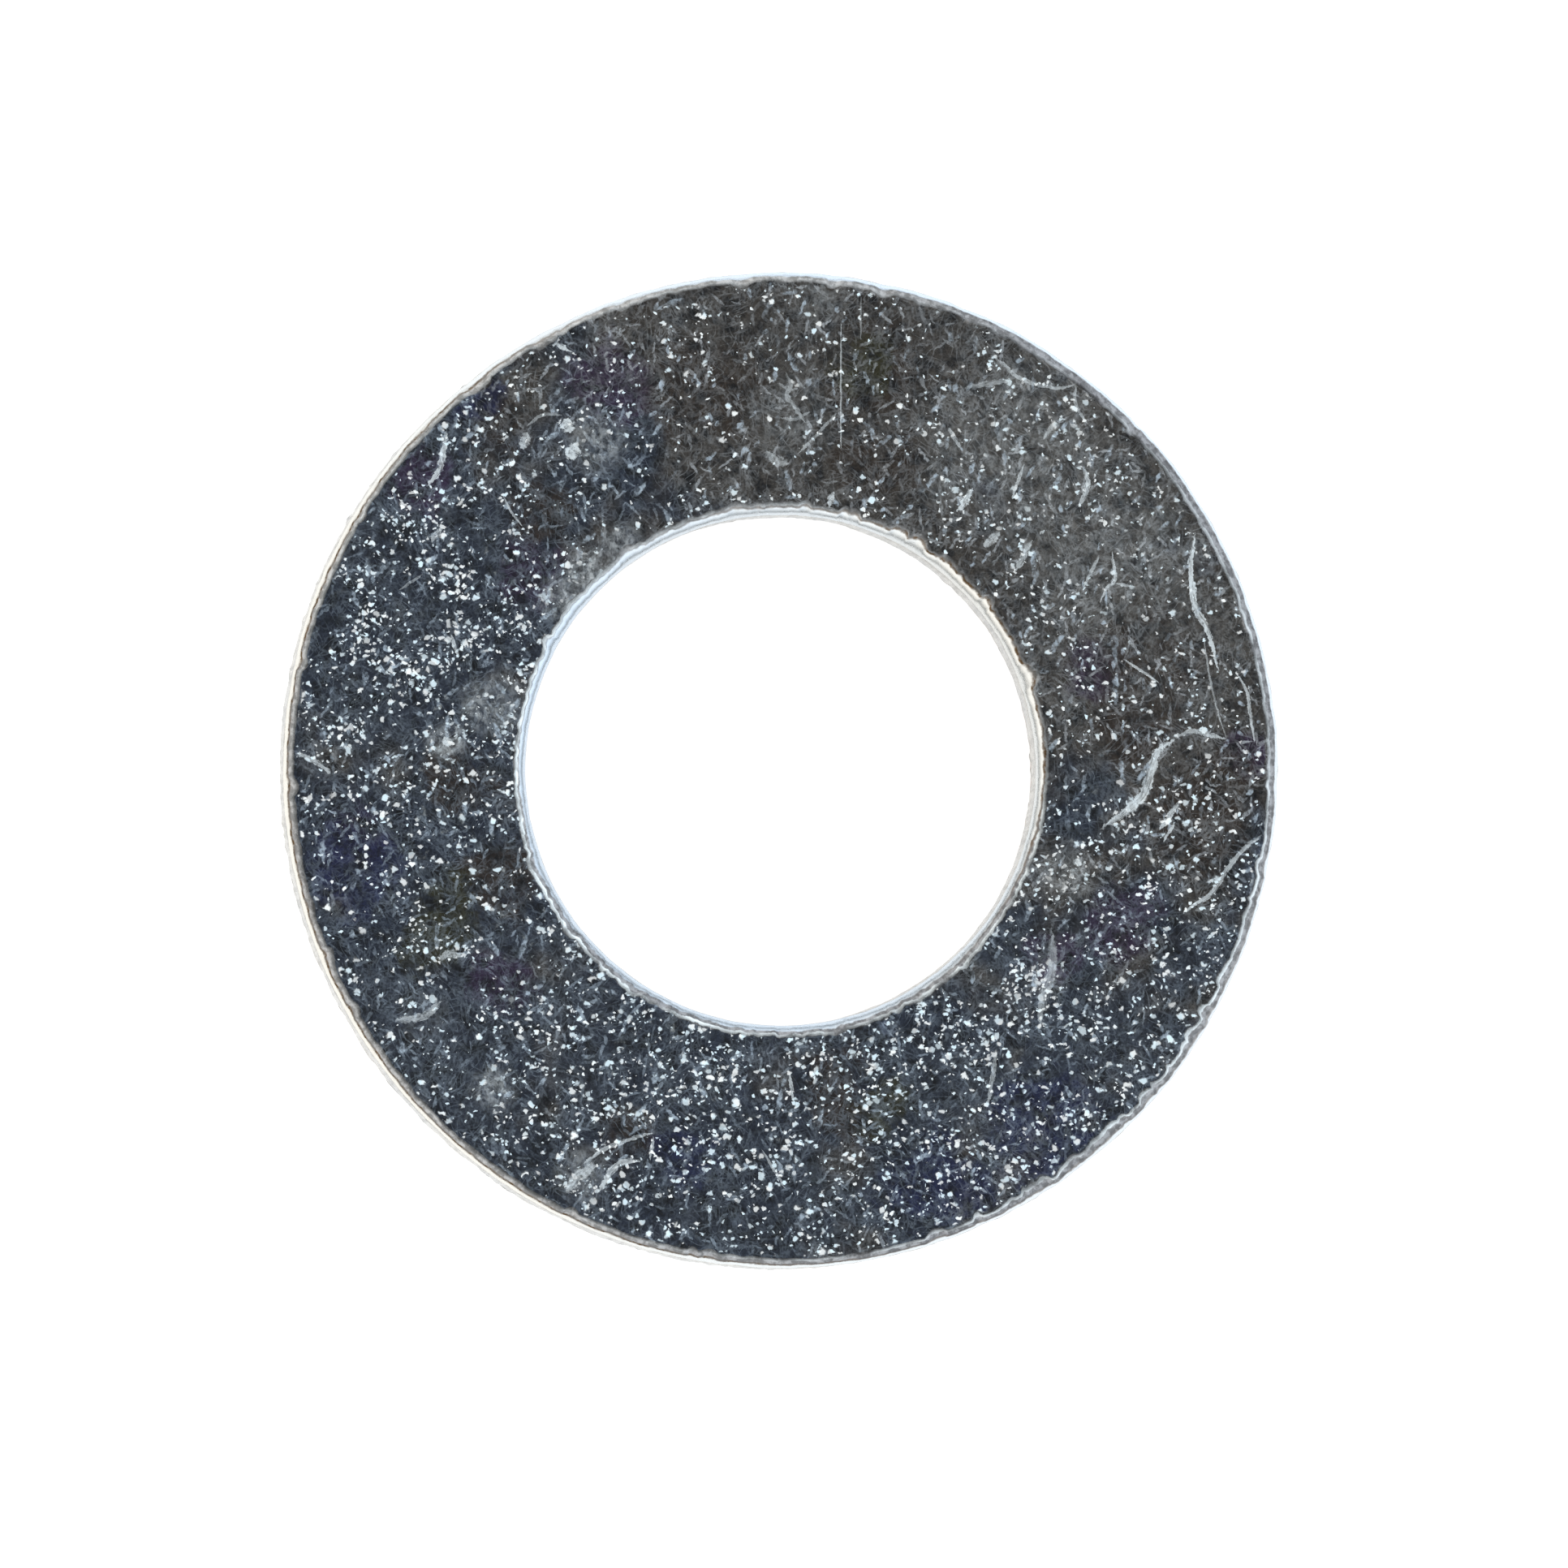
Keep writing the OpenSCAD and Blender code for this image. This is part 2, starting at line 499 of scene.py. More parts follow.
def closed_mesh(points, rows):
    """The points of every row, joined round the ring and from each row to the next."""
    j, i = np.mgrid[0:rows, 0:COLUMNS]
    next_j, next_i = (j + 1) % rows, (i + 1) % COLUMNS
    corners = ((j, i), (next_j, i), (next_j, next_i), (j, next_i))
    quads = np.stack([row * COLUMNS + column for row, column in corners], -1)
    quads = quads.reshape(-1, 4)[:, ::-1]
    mesh = bpy.data.meshes.new("washer_plated")
    mesh.vertices.add(len(points))
    mesh.vertices.foreach_set("co", (points * MM).astype(np.float32).ravel())
    mesh.loops.add(quads.size)
    mesh.loops.foreach_set("vertex_index", quads.astype(np.int32).ravel())
    mesh.polygons.add(len(quads))
    mesh.polygons.foreach_set("loop_start", np.arange(0, quads.size, 4, dtype=np.int32))
    mesh.update(calc_edges=True)
    mesh.validate()
    mesh.shade_smooth()
    mesh.set_sharp_from_angle(angle=SHARP)
    return mesh


def patches(points, spots, profile):
    """The strongest of round spots (x, y, size, strength) at every point; profile falls with the distance."""
    most = np.zeros(len(points))
    for x, y, size, strength in spots:
        off = np.hypot(points[:, 0] - x, points[:, 1] - y) / size
        most = np.maximum(most, strength * profile(off))
    return most


def surface_fields(points, turn, radius, zone, down, rng):
    """What the material reads from the mesh: one number per point for each name."""
    degrees = np.degrees(turn)

    def round_ring(table, column):
        table = np.array(table, float)
        return np.interp(degrees, table[:, 0], table[:, column], period=360)

    on_top = zone == "top"
    on_wall = np.char.endswith(zone, "land") | np.char.endswith(zone, "break")
    in_bore = (zone == "bore_break") | (zone == "bore_land")
    clusters = np.clip(CROWDING + CROWDING_SWING * swell(points, rng, CROWDING_LENGTH), 0, 1.6)
    to_right = np.clip(np.cos(turn), 0, 1) ** 3
    near_torn = np.clip(1 - np.abs(points[:, 2] - BREAK_H) / RUST_REACH, 0, 1)
    fields = {
        "face": np.where(on_top | (zone == "under"), 1.0, 0.0),
        "roll": np.where(on_wall, 1.0, down),
        "crowd": round_ring(REGIONS, 1) * clusters,
        "grey_share": round_ring(REGIONS, 2),
        "haze": on_top * patches(points, HAZES, lambda off: np.clip(1 - off**2, 0, 1)),
        "rust": in_bore * to_right * near_torn,
    }
    # the edge tables give the painted highlight line, the side that gets painted shade and a warm tint, the
    # painted sheen, and where the pale band of painted highlight begins
    for column, name in enumerate(("line", "painted_shade_side", "painted_sheen", "painted_band_start"), 1):
        fields[name] = np.where(radius > MID_R, round_ring(RIM_EDGE, column), round_ring(BORE_EDGE, column))
    for hue in STAIN_COLOURS:
        spots = [(x, y, size, 1) for name, x, y, size in STAINS if name == hue]
        fields[hue] = on_top * patches(points, spots, lambda off: np.clip(STAIN_SPREAD - off, 0, 1))
    return fields


def washer_mesh():
    """The ring as one closed mesh, with the fields that its material reads."""
    angle, rows = ring_grid()
    zone = np.repeat([row[0] for row in rows], COLUMNS)
    radius, height, out, up = (np.concatenate([row[k] for row in rows]) for k in (1, 2, 3, 4))
    down = np.repeat([float(row[5]) for row in rows], COLUMNS)
    turn = np.tile(angle, len(rows))
    cos, sin = np.cos(turn), np.sin(turn)
    points = np.stack([radius * cos, radius * sin, height], 1)
    normals = np.stack([out * cos, out * sin, up], 1) / np.hypot(out, up)[:, None]

    rng = np.random.default_rng(5)
    layers, scratched = scratch_layers(points[:, :2], zone == "top")
    moved = points + normals * (unevenness(points, zone, rng) + scratched)[:, None]
    moved[:, 2] = np.clip(moved[:, 2], 0, None)
    mesh = closed_mesh(moved, len(rows))
    for name, values in surface_fields(points, turn, radius, zone, down, rng).items():
        mesh.attributes.new(name, "FLOAT", "POINT").data.foreach_set("value", values.astype(np.float32))
    for k, values in enumerate(layers):
        layer = mesh.attributes.new(f"scratch_{k}", "FLOAT_VECTOR", "POINT")
        layer.data.foreach_set("vector", values.astype(np.float32).ravel())
    return mesh


# ---------------------------------------------------------------- plated steel

# Colours of the finish, in linear light. A pair is mixed from its first to its second.
BLUE_FILM = ((0.103, 0.129, 0.190, 1), (0.158, 0.192, 0.260, 1))
GREY_FILM = ((0.200, 0.183, 0.167, 1), (0.275, 0.266, 0.254, 1))
DARK_MOTTLE = (0.055, 0.060, 0.068, 1)
DARK_GRAIN = (0.035, 0.037, 0.040, 1)
THREADS = ((0.43, 0.53, 0.64, 1), (0.55, 0.60, 0.65, 1))
PALE_HAZE = (0.56, 0.61, 0.64, 1)
FLAKES = (0.50, 0.61, 0.72, 1)
SCRATCHED = (0.76, 0.84, 0.89, 1)
# painted glints: near-white base colour for the sparkles of light off tiny facets of the face
PAINTED_GLINTS = ((0.94, 0.97, 0.98, 1), (0.80, 0.93, 1.0, 1))
BEVEL = ((0.13, 0.133, 0.142, 1), (0.28, 0.29, 0.31, 1))
# painted sheen: lighter grey for the rolled edges, at the angles the edge tables give
PAINTED_SHEEN = ((0.45, 0.45, 0.43, 1), (0.80, 0.80, 0.78, 1))
# painted highlight: a pale line where the rolled edge starts to bend
PAINTED_HIGHLIGHT_LINE = (0.80, 0.88, 0.92, 1)
# painted highlight: the pale outer band of the rolled edges, cool on one side and cream on the painted-shade
# side
PAINTED_BAND = ((0.56, 0.645, 0.74, 1), (0.69, 0.67, 0.62, 1))
# painted shade: a dark brownish line across the rolled edge, on the side away from the light
PAINTED_SHADE_LINE = (0.10, 0.065, 0.035, 1)
BURNISHED = ((0.36, 0.355, 0.340, 1), (0.55, 0.545, 0.525, 1))
TORN_ZINC = ((0.24, 0.236, 0.225, 1), (0.50, 0.493, 0.470, 1))
BLUISH_ZINC = (0.38, 0.42, 0.48, 1)
# painted shade: a brownish darkening of the walls towards their top, on the painted-shade side
PAINTED_TOP_SHADE = (0.30, 0.28, 0.23, 1)
RUST = (0.30, 0.09, 0.03, 1)

SPECK_REACH = 0.29  # a speck's radius in cells, before it is made 0.35 to 1.35 times that at random
RELIEF = 0.003  # how far the material's own bumps stand out
PAINTED_TOP_SHADE_LOW = 0.9  # the height at which the painted shade towards the walls' top begins
CLEAN_ROUGH = 0.27  # roughness of the bare film and of the burnished walls


class Pattern:
    """Adds nodes to a material, so that a pattern reads as a sum of named steps."""

    def __init__(self, tree):
        self.tree = tree

    def node(self, kind, **settings):
        made = self.tree.nodes.new("ShaderNode" + kind)
        for name, value in settings.items():
            setattr(made, name, value)
        return made

    def put(self, socket, value):
        if isinstance(value, bpy.types.NodeSocket):
            self.tree.links.new(value, socket)
        else:
            socket.default_value = value

    def field(self, name):
        return self.node("Attribute", attribute_name=name).outputs["Fac"]

    def vector_field(self, name):
        return self.node("Attribute", attribute_name=name).outputs["Vector"]

    def parts(self, vector):
        split = self.node("SeparateXYZ")
        self.put(split.inputs[0], vector)
        return split.outputs

    def math(self, operation, a, b=0.0):
        made = self.node("Math", operation=operation)
        self.put(made.inputs[0], a)
        self.put(made.inputs[1], b)
        return made.outputs[0]

    def add(self, a, b):
        return self.math("ADD", a, b)

    def less(self, a, b):
        return self.math("SUBTRACT", a, b)

    def times(self, a, b):
        return self.math("MULTIPLY", a, b)

    def most(self, a, b):
        return self.math("MAXIMUM", a, b)

    def swing(self, noise, reach):
        """Noise made to swing about 0, from -reach / 2 to reach / 2."""
        return self.times(self.less(noise, 0.5), reach)

    def step(self, x, low, high):
        """A smooth step from 0 where x is low to 1 where x is high; low may be the larger."""
        made = self.node("MapRange", interpolation_type="SMOOTHSTEP")
        self.put(made.inputs["Value"], x)
        self.put(made.inputs["From Min"], low)
        self.put(made.inputs["From Max"], high)
        return made.outputs[0]

    def vector(self, operation, a, b):
        made = self.node("VectorMath", operation=operation)
        self.put(made.inputs[0], a)
        self.put(made.inputs[1], b)
        return made.outputs[0]

    def colours(self, amount, a, b):
        made = self.node("Mix", data_type="RGBA")
        self.put(made.inputs["Factor"], amount)
        self.put(made.inputs[6], a)
        self.put(made.inputs[7], b)
        return made.outputs[2]

    def moved(self, where, x, y):
        return self.vector("ADD", where, (x, y, 0))

    def turned(self, where, angle):
        """where, turned about the washer's axis."""
        made = self.node("VectorRotate", rotation_type="Z_AXIS")
        self.put(made.inputs["Vector"], where)
        self.put(made.inputs["Angle"], angle)
        return made.outputs[0]

    def off_axis(self, where):
        """where, turned off the axes, so that the noise's own grid doesn't show on a flat face."""
        made = self.node("VectorRotate", rotation_type="AXIS_ANGLE")
        self.put(made.inputs["Vector"], where)
        made.inputs["Axis"].default_value = (0.5, 0.3, 0.8)
        made.inputs["Angle"].default_value = 0.9
        return made.outputs[0]

    def noise(self, where, scale, detail=2.0, roughness=0.5):
        made = self.node("TexNoise")
        self.put(made.inputs["Vector"], self.off_axis(where))
        made.inputs["Scale"].default_value = scale
        made.inputs["Detail"].default_value = detail
        made.inputs["Roughness"].default_value = roughness
        return made.outputs["Fac"]

    def warp(self, where, scale, reach):
        """where, pushed about by noise, so that round shapes become ragged."""
        wander = self.node("TexNoise")
        self.put(wander.inputs["Vector"], self.off_axis(where))
        wander.inputs["Scale"].default_value = scale
        wander.inputs["Detail"].default_value = 1.0
        centred = self.vector("SUBTRACT", wander.outputs["Color"], (0.5, 0.5, 0.5))
        return self.vector("ADD", where, self.vector("MULTIPLY", centred, (reach, reach, reach)))

    def cells(self, where, scale):
        """Random cells seen from above: the distance to a cell's middle, the middle, and random numbers."""
        made = self.node("TexVoronoi", voronoi_dimensions="2D")
        self.put(made.inputs["Vector"], where)
        made.inputs["Scale"].default_value = scale
        split = self.node("SeparateColor")
        self.put(split.inputs[0], made.outputs["Color"])
        return made.outputs["Distance"], made.outputs["Position"], split.outputs

    def specks(self, where, scale, reach, share):
        """Flat spots of random size and brightness; share is the part of the cells that hold one."""
        distance, _, random = self.cells(where, scale)
        size = self.times(reach, self.add(random[0], 0.35))
        spot = self.step(self.math("DIVIDE", distance, size), 1.0, 0.5)
        held = self.step(random[1], share, self.less(share, 0.02))
        return self.times(self.times(spot, held), self.add(0.62, self.times(0.38, random[2])))

    def hairs(self, where, heading, length, width):
        """Thin wandering lines along a heading, in patches: the contours of a stretched noise."""
        stretched = self.vector("MULTIPLY", self.turned(where, -heading), (1 / length, 1 / width, 1 / width))
        patches = self.noise(self.moved(where, 40 * heading, 0), 2.4, 2.0, 0.6)
        off_contour = self.math("ABSOLUTE", self.less(self.noise(stretched, 1.0, 1.0, 0.6), 0.5))
        return self.times(self.step(off_contour, 0.05, 0.01), self.step(patches, 0.40, 0.60))

    def strokes(self, where, scale, length, width, lean, spread, share):
        """Short straight strokes on the face: lean is their usual heading, and spread how far it varies."""
        _, centre, random = self.cells(where, scale)
        heading = self.less(spread / 2 - lean, self.times(spread, random[0]))
        x, y, _ = self.parts(self.turned(self.vector("SUBTRACT", where, centre), heading))
        along = self.math("DIVIDE", x, self.times(length, self.add(random[1], 0.4)))
        across = self.math("DIVIDE", y, width)
        reach = self.add(self.times(along, along), self.times(across, across))
        return self.times(self.step(reach, 1.0, 0.3), self.step(random[2], share, share * 0.3))


class PlatedSteel(Pattern):
    """Tumbled zinc on steel. Each layer takes the colour below it, and gives the colour with itself added."""

    def __init__(self, tree):
        super().__init__(tree)
        self.where = self.vector("MULTIPLY", self.node("TexCoord").outputs["Object"], (1 / MM,) * 3)
        self.up = self.parts(self.where)[2]
        self.ragged = self.warp(self.where, 16.0, 0.06)
        self.mottle = self.noise(self.ragged, 5.0, 5.0, 0.65)
        self.grain = self.step(self.noise(self.where, 34.0, 2.0, 0.6), 0.30, 0.70)
        drift = self.swing(self.noise(self.where, 0.8, 3.0, 0.6), 2.0)
        greyness = self.add(self.field("grey_share"), drift)
        self.greyish = self.step(greyness, 0.3, 0.7)
        stretched = self.vector("MULTIPLY", self.warp(self.where, 20.0, 0.05), (14.0, 9.0, 14.0))
        self.flecks = self.noise(stretched, 1.0, 3.0, 0.6)
        self.bend = self.add(self.field("roll"), self.swing(self.noise(self.where, 6.0, 3.0, 0.6), 0.30))
        self.patchy = self.step(self.noise(self.ragged, 11.0, 3.0, 0.6), 0.38, 0.62)
        self.wall = self.step(self.bend, 0.84, 0.92)

    def film(self):
        """Slate blue or grey, with stains, dark mottle and a fine grain."""
        cloud = self.step(self.noise(self.where, 0.9, 4.0, 0.6), 0.35, 0.65)
        blue = self.colours(cloud, *BLUE_FILM)
        grey = self.colours(cloud, *GREY_FILM)
        colour = self.colours(self.greyish, blue, grey)
        tear = self.swing(self.noise(self.ragged, 1.8, 4.0, 0.65), 3.2)
        for hue, tint in STAIN_COLOURS.items():
            inside = self.field(hue)
            stain = self.times(self.step(self.add(inside, tear), 0.3, 1.0), self.step(inside, 0.0, 0.5))
            colour = self.colours(self.times(stain, 0.85), colour, tint)
        colour = self.colours(self.step(self.mottle, 0.60, 0.30), colour, DARK_MOTTLE)
        return self.colours(self.times(self.less(1.0, self.grain), 0.45), colour, DARK_GRAIN)

    def with_fibres(self, colour):
        """Fine hairs in patches of different headings, short crisp strokes, and flecks that lean upright."""
        bent = self.warp(self.where, 3.0, 0.10)
        fibres = self.hairs(bent, 1.5, 0.40, 0.10)
        for heading in (0.2, 0.9, 2.1, 2.7):
            fibres = self.most(fibres, self.hairs(bent, heading, 0.36, 0.10))
        short = self.strokes(self.ragged, 3.8, 0.15, 0.026, 1.4, 2.2, 0.7)
        shorter = self.strokes(self.moved(self.ragged, 31.7, 12.3), 5.2, 0.11, 0.020, 1.4, 3.1, 0.8)
        upright = self.times(self.step(self.flecks, 0.52, 0.68), 0.35)
        fibres = self.most(self.times(fibres, 0.55), self.most(self.most(short, shorter), upright))
        fibres = self.times(fibres, self.step(self.grain, -0.6, 0.7))
        self.fibres = self.times(fibres, self.step(self.noise(self.where, 3.5, 3.0, 0.6), 0.05, 0.70))
        thread = self.colours(self.greyish, *THREADS)
        return self.colours(self.times(self.fibres, 0.78), colour, thread)

    def with_haze(self, colour):
        """Pale haze, where the fibres lie so close that they run together."""
        cloudy = self.step(self.noise(self.warp(self.where, 6.0, 0.2), 7.0, 4.0, 0.7), 0.30, 0.56)
        stranded = self.add(0.5, self.times(0.5, self.step(self.flecks, 0.42, 0.60)))
        self.haze = self.times(self.times(self.field("haze"), cloudy), stranded)
        return self.colours(self.times(self.haze, 0.85), colour, PALE_HAZE)

    def with_flakes(self, colour):
        """Strokes that are longer and wider than the fibres, and far apart."""
        flakes = self.strokes(self.moved(self.ragged, 5.1, 77.3), 1.9, 0.15, 0.040, 1.2, 1.6, 0.4)
        small = self.strokes(self.moved(self.ragged, -44.0, 8.2), 2.8, 0.10, 0.032, 1.2, 2.6, 0.6)
        upright = self.strokes(self.moved(self.ragged, 9.3, -20.6), 3.8, 0.09, 0.024, 1.3, 1.0, 0.5)
        flakes = self.most(self.most(flakes, small), self.times(upright, self.greyish))
        frayed = self.step(self.noise(self.ragged, 14.0, 3.0, 0.6), 0.30, 0.68)
        self.flakes = self.times(flakes, self.times(self.field("face"), frayed))
        return self.colours(self.times(self.flakes, 0.8), colour, FLAKES)

    def scratch(self, layer, fray):
        """One layer of scratches, from its own coordinates: frayed edges, pointed ends and long strands."""
        own = self.vector_field(f"scratch_{layer}")
        across, along, shine = self.parts(own)
        ends = self.times(self.times(4.0, along), self.less(1.0, along))
        half = self.math("POWER", self.most(ends, 0.0), 0.5)
        edge = self.less(half, self.math("ABSOLUTE", self.add(across, fray)))
        stretched = self.vector("MULTIPLY", own, (1.5, 6.0, 0.0))
        strands = self.step(self.noise(stretched, 1.0, 3.0, 0.7), 0.36, 0.56)
        strands = self.add(0.45, self.times(0.55, strands))
        return self.times(self.times(self.step(edge, 0.0, 0.3), shine), strands)

    def with_scratches(self, colour):
        """The scratches that are drawn one by one, worn through in places."""
        fray = self.swing(self.noise(self.where, 14.0, 3.0, 0.7), 2.2)
        scratches = self.scratch(0, fray)
        for layer in range(1, LAYERS):
            scratches = self.most(scratches, self.scratch(layer, fray))
        worn = self.step(self.noise(self.where, 22.0, 3.0, 0.6), 0.05, 0.48)
        self.scratches = self.times(scratches, self.times(worn, self.step(self.mottle, 0.0, 0.44)))
        return self.colours(self.scratches, colour, SCRATCHED)

    def with_painted_glints(self, colour):
        """Painted glints: bright specks of four sizes, crowded by region and in clusters, and few where the
        haze is.
        """
        blobs = self.warp(self.warp(self.where, 9.0, 0.08), 24.0, 0.05)
        flat = self.vector("MULTIPLY", blobs, (0.85, 1.2, 1.0))
        clustered = self.step(self.noise(self.where, 3.6, 3.0, 0.6), 0.28, 0.72)
        cluster = self.times(self.field("crowd"), clustered)
        specks = self.specks(self.turned(blobs, 0.9), 6.5, SPECK_REACH, cluster)
        smaller = self.times(cluster, 0.74)
        for scale, angle, place in ((7.5, 0.3, flat), (9.5, -0.4, flat), (14.0, 1.3, blobs)):
            specks = self.most(specks, self.specks(self.turned(place, angle), scale, SPECK_REACH, smaller))
        clear = self.times(self.field("face"), self.less(1.0, self.times(self.haze, 0.7)))
        self.painted_glints = self.times(specks, clear)
        pale = self.colours(self.step(self.noise(self.where, 6.0), 0.40, 0.60), *PAINTED_GLINTS)
        return self.colours(self.painted_glints, colour, pale)

    def with_rolled_edges(self, colour):
        """From the face outwards: a ragged painted highlight line, grey metal with painted sheen in places, a
        dark line of painted shade on the shaded side, and a pale outer band of painted highlight tinted cream
        or cool by side.
        """
        painted_shade_side = self.field("painted_shade_side")
        bevel = self.colours(self.patchy, *BEVEL)
        # painted sheen: a lighter grey on the rolled edge, at the angles the edge tables give
        painted_sheen_colour = self.colours(self.patchy, *PAINTED_SHEEN)
        bevel = self.colours(self.times(self.field("painted_sheen"), 0.9), bevel, painted_sheen_colour)
        colour = self.colours(self.step(self.field("roll"), 0.01, 0.06), colour, bevel)
        # painted highlight: a broken pale line just where the rolled edge begins to bend
        highlight_mask = self.times(self.step(self.bend, 0.04, 0.09), self.step(self.bend, 0.25, 0.18))
        broken = self.step(self.noise(self.where, 2.2, 2.0), 0.28, 0.50)
        highlight_mask = self.times(highlight_mask, self.times(self.field("line"), broken))
        colour = self.colours(highlight_mask, colour, PAINTED_HIGHLIGHT_LINE)
        # painted highlight: the pale outer band, cream on the painted-shade side and cool on the other
        late = self.less(self.bend, self.field("painted_band_start"))
        painted_band_colour = self.colours(painted_shade_side, *PAINTED_BAND)
        colour = self.colours(self.step(late, -0.05, 0.05), colour, painted_band_colour)
        # painted shade: a dark brownish line just inside the pale band, on the painted-shade side only
        line = self.times(self.step(late, -0.14, -0.05), self.step(late, 0.08, 0.00))
        line = self.times(line, self.step(painted_shade_side, 0.1, 0.7))
        line = self.times(line, self.add(0.35, self.times(self.patchy, 0.65)))
        return self.colours(line, colour, PAINTED_SHADE_LINE)

    def with_walls(self, colour):
        """Burnished upright by the punch, torn and grainy low down, with painted shade darkening the top on
        the shaded side, and rust specks in the bore.
        """
        level = self.add(self.up, self.swing(self.noise(self.where, 1.6, 4.0, 0.6), 0.7))
        self.torn = self.step(level, BREAK_H + 0.05, BREAK_H - 0.05)
        self.drawn = self.noise(self.vector("MULTIPLY", self.where, (13.0, 13.0, 0.9)), 1.0, 3.0, 0.65)
        self.crumbs = self.noise(self.warp(self.where, 9.0, 0.1), 9.0, 4.0, 0.7)
        burnished = self.colours(self.step(self.drawn, 0.36, 0.64), *BURNISHED)
        rough_zinc = self.colours(self.step(self.crumbs, 0.38, 0.62), *TORN_ZINC)
        zinc = self.colours(self.torn, burnished, rough_zinc)
        bluish = self.step(self.noise(self.where, 1.1, 3.0, 0.6), 0.42, 0.62)
        zinc = self.colours(self.times(bluish, 0.30), zinc, BLUISH_ZINC)
        # painted shade: brownish darkening towards the walls' top, on the painted-shade side
        painted_top_shade = self.step(self.up, PAINTED_TOP_SHADE_LOW, THICK - ROLL_R)
        painted_top_shade = self.times(painted_top_shade, self.times(self.field("painted_shade_side"), 0.3))
        zinc = self.colours(painted_top_shade, zinc, PAINTED_TOP_SHADE)
        colour = self.colours(self.wall, colour, zinc)
        rust = self.times(self.step(self.noise(self.where, 7.0, 2.0), 0.58, 0.62), self.field("rust"))
        return self.colours(self.times(rust, 0.9), colour, RUST)

    def roughness(self):
        rough = self.add(CLEAN_ROUGH, self.times(self.fibres, 0.18))
        rough = self.add(rough, self.times(self.haze, 0.2))
        rough = self.add(rough, self.times(self.most(self.scratches, self.flakes), 0.25))
        rough = self.most(rough, self.times(self.painted_glints, 0.85))
        rough = self.most(rough, self.times(self.wall, self.add(CLEAN_ROUGH, self.times(self.torn, 0.20))))
        return self.math("MINIMUM", rough, 0.9)

    def relief(self):
        """The normal: raised specks, sunk scratches, mottle, and the walls' grooves and crumbs."""
        sunk = self.times(self.most(self.scratches, self.flakes), -0.5)
        height = self.add(self.times(self.painted_glints, 0.6), sunk)
        height = self.add(height, self.add(self.times(self.fibres, 0.25), self.times(self.mottle, 0.5)))
        upright = self.times(self.drawn, self.less(1.0, self.torn))
        grooves = self.add(upright, self.times(self.times(self.crumbs, self.torn), 2.5))
        height = self.add(height, self.times(self.times(grooves, self.wall), 2.0))
        bump = self.node("Bump")
        bump.inputs["Strength"].default_value = 1.0
        bump.inputs["Distance"].default_value = RELIEF * MM
        self.put(bump.inputs["Height"], height)
        return bump.outputs[0]


def plated_steel():
    material = bpy.data.materials.new("plated_steel")
    material.use_nodes = True
    shader = material.node_tree.nodes["Principled BSDF"]
    steel = PlatedSteel(material.node_tree)
    colour = steel.film()
    for add_layer in (steel.with_fibres, steel.with_haze, steel.with_flakes, steel.with_scratches,
                      steel.with_painted_glints, steel.with_rolled_edges, steel.with_walls):
        colour = add_layer(colour)
    steel.put(shader.inputs["Base Color"], colour)
    shader.inputs["Metallic"].default_value = 1.0
    steel.put(shader.inputs["Roughness"], steel.roughness())
    steel.put(shader.inputs["Normal"], steel.relief())
    return material


# ---------------------------------------------------------------- washer

washer = bpy.data.objects.new("washer_plated", washer_mesh())
bpy.context.scene.collection.objects.link(washer)
washer.data.materials.append(plated_steel())
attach(washer, "root")
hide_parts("washer")

# ---------------------------------------------------------------- table, light and camera

TABLE_R = 0.8  # in metres
TABLE_SIDES = 96
TABLE_GLOW = 0.50  # light that comes up through the table
ZENITH_DARK = 0.20  # what the flat face reflects, straight overhead
SIDES_BRIGHT = 1.65  # the tent's sides
HORIZON_DIM = 0.80  # the tent at table height
OPENING = (math.cos(math.radians(44)), math.cos(math.radians(14)))  # the tent's opening fades in between
CREAM, COOL = (1.0, 0.975, 0.93, 1), (0.93, 0.97, 1.0, 1)


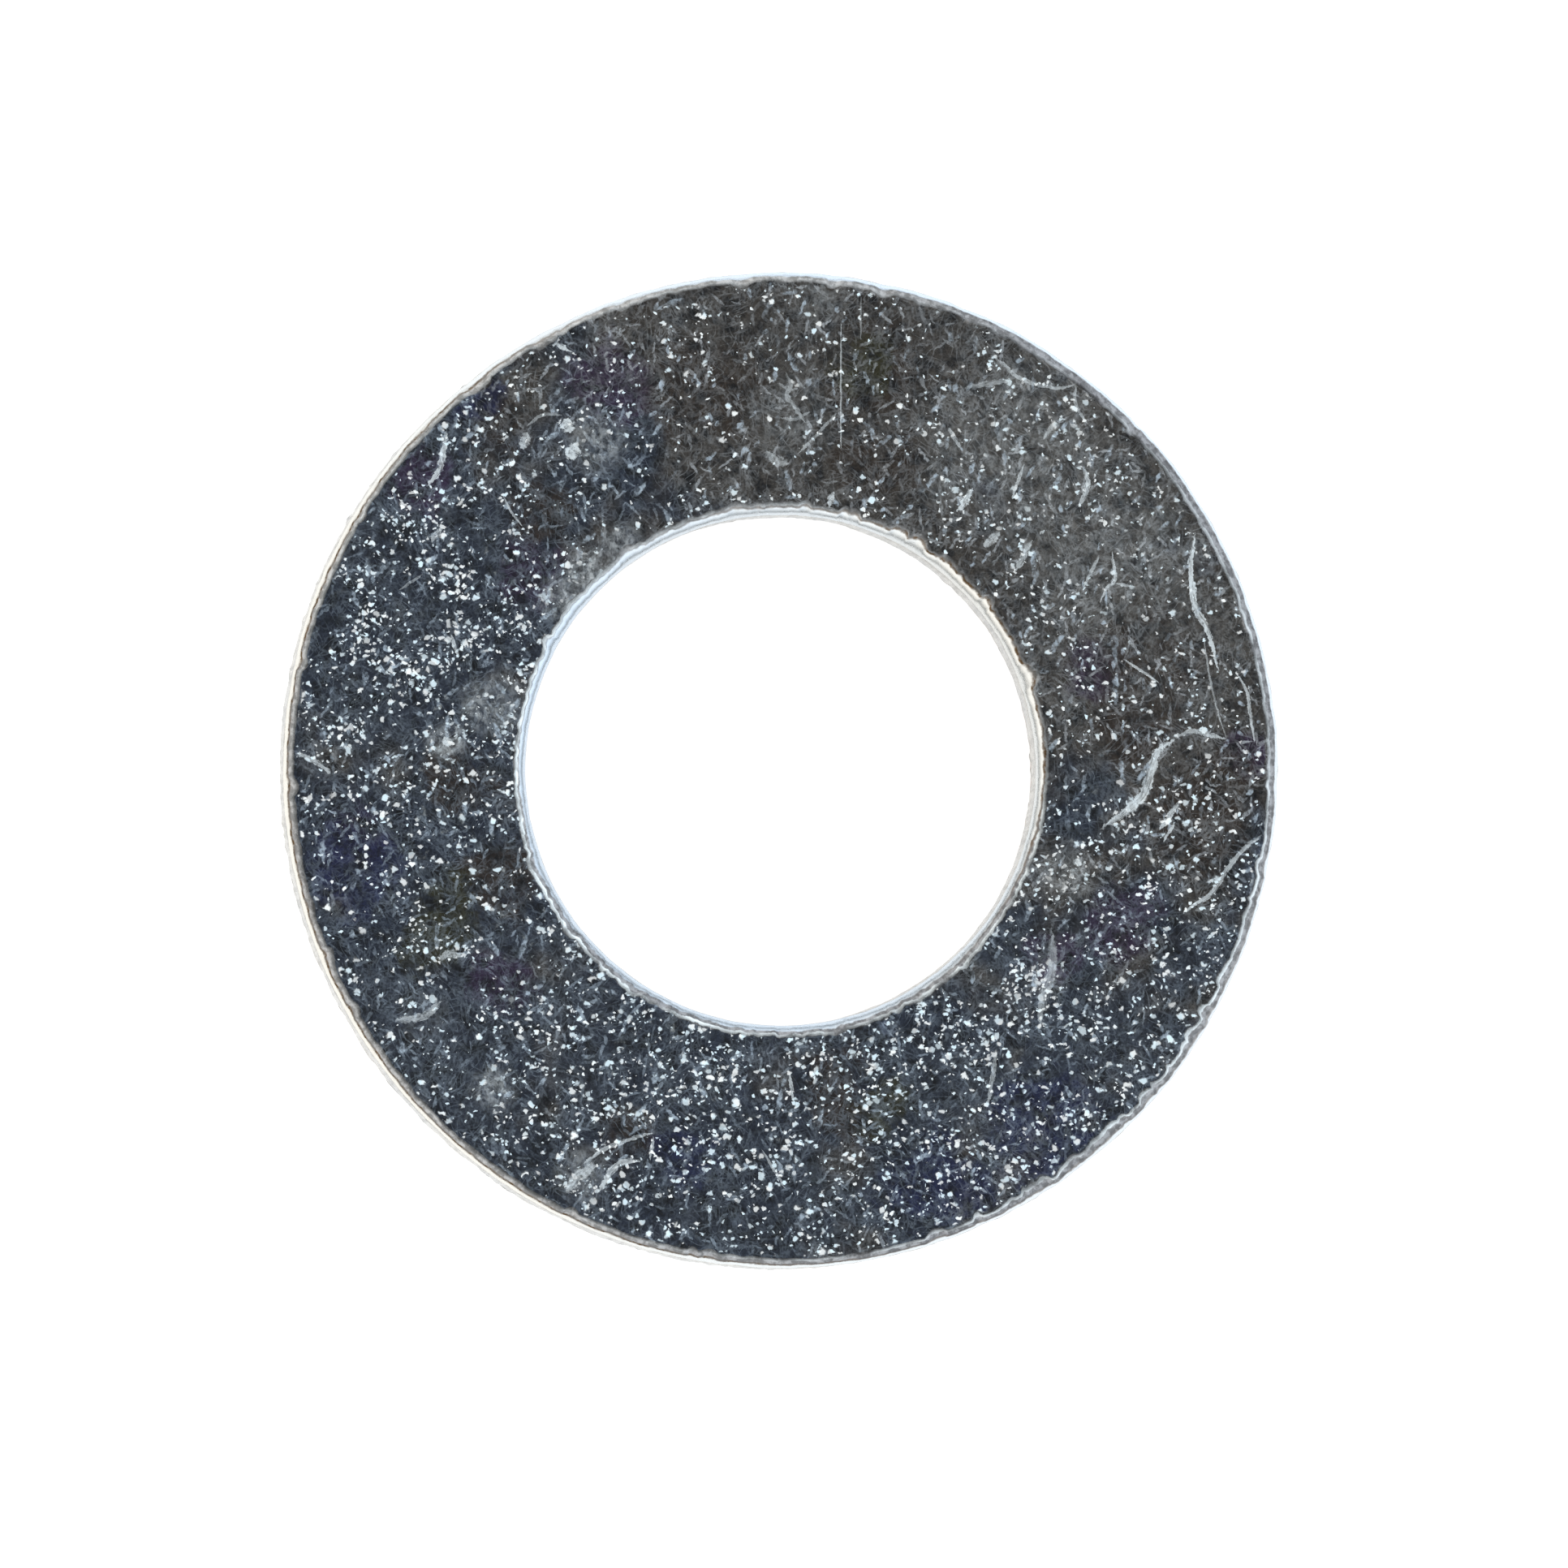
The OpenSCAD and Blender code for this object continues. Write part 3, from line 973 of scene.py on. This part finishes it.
def white_table():
    material = bpy.data.materials.new("white_paper")
    material.use_nodes = True
    shader = material.node_tree.nodes["Principled BSDF"]
    p = Pattern(material.node_tree)
    fibre = p.noise(p.node("TexCoord").outputs["Object"], 900.0, 3.0, 0.6)
    p.put(shader.inputs["Base Color"], p.colours(fibre, (0.88, 0.88, 0.88, 1), (0.92, 0.92, 0.92, 1)))
    shader.inputs["Roughness"].default_value = 0.9
    shader.inputs["Specular IOR Level"].default_value = 0.1
    shader.inputs["Emission Color"].default_value = (1.0, 1.0, 1.0, 1.0)
    shader.inputs["Emission Strength"].default_value = TABLE_GLOW
    bpy.ops.mesh.primitive_circle_add(vertices=TABLE_SIDES, radius=TABLE_R, fill_type="NGON")
    table = bpy.context.object
    table.name = "table"
    table.data.materials.append(material)


def studio_light():
    """A white tent of soft light, cream on the left and cool on the right, open where the camera looks in."""
    world = bpy.data.worlds.new("tent")
    bpy.context.scene.world = world
    world.use_nodes = True
    p = Pattern(world.node_tree)
    background = world.node_tree.nodes["Background"]
    right, _, up = p.parts(p.node("TexCoord").outputs["Generated"])
    p.put(background.inputs["Color"], p.colours(p.step(right, -0.8, 0.8), CREAM, COOL))
    sides = p.add(HORIZON_DIM, p.times(p.step(up, 0.0, 0.5), SIDES_BRIGHT - HORIZON_DIM))
    opening = p.times(p.step(up, *OPENING), SIDES_BRIGHT - ZENITH_DARK)
    p.put(background.inputs["Strength"], p.less(sides, opening))


LENS = 800.0
SENSOR = 36.0
VIEW_WIDTH = 19.67  # how much the picture shows at the washer
TILT = math.radians(3.3)  # how far the camera leans from straight overhead
HEADING = math.radians(203)  # where it leans to, from +X
AIM = (0.035, -0.176)  # the picture's middle, from the washer's axis


def photo_camera():
    data = bpy.data.cameras.new("camera")
    data.lens = LENS
    data.sensor_width = SENSOR
    camera = bpy.data.objects.new("camera", data)
    bpy.context.scene.collection.objects.link(camera)
    back = Vector((math.sin(TILT) * math.cos(HEADING), math.sin(TILT) * math.sin(HEADING), math.cos(TILT)))
    target = Vector((AIM[0], AIM[1], THICK)) * MM
    right = Vector((0, 1, 0)).cross(back).normalized()
    turn = Matrix((right, back.cross(right), back)).transposed().to_4x4()
    camera.matrix_world = Matrix.Translation(target + back * (VIEW_WIDTH * LENS / SENSOR * MM)) @ turn
    bpy.context.scene.camera = camera


white_table()
studio_light()
photo_camera()
bpy.context.scene.view_settings.view_transform = "Standard"
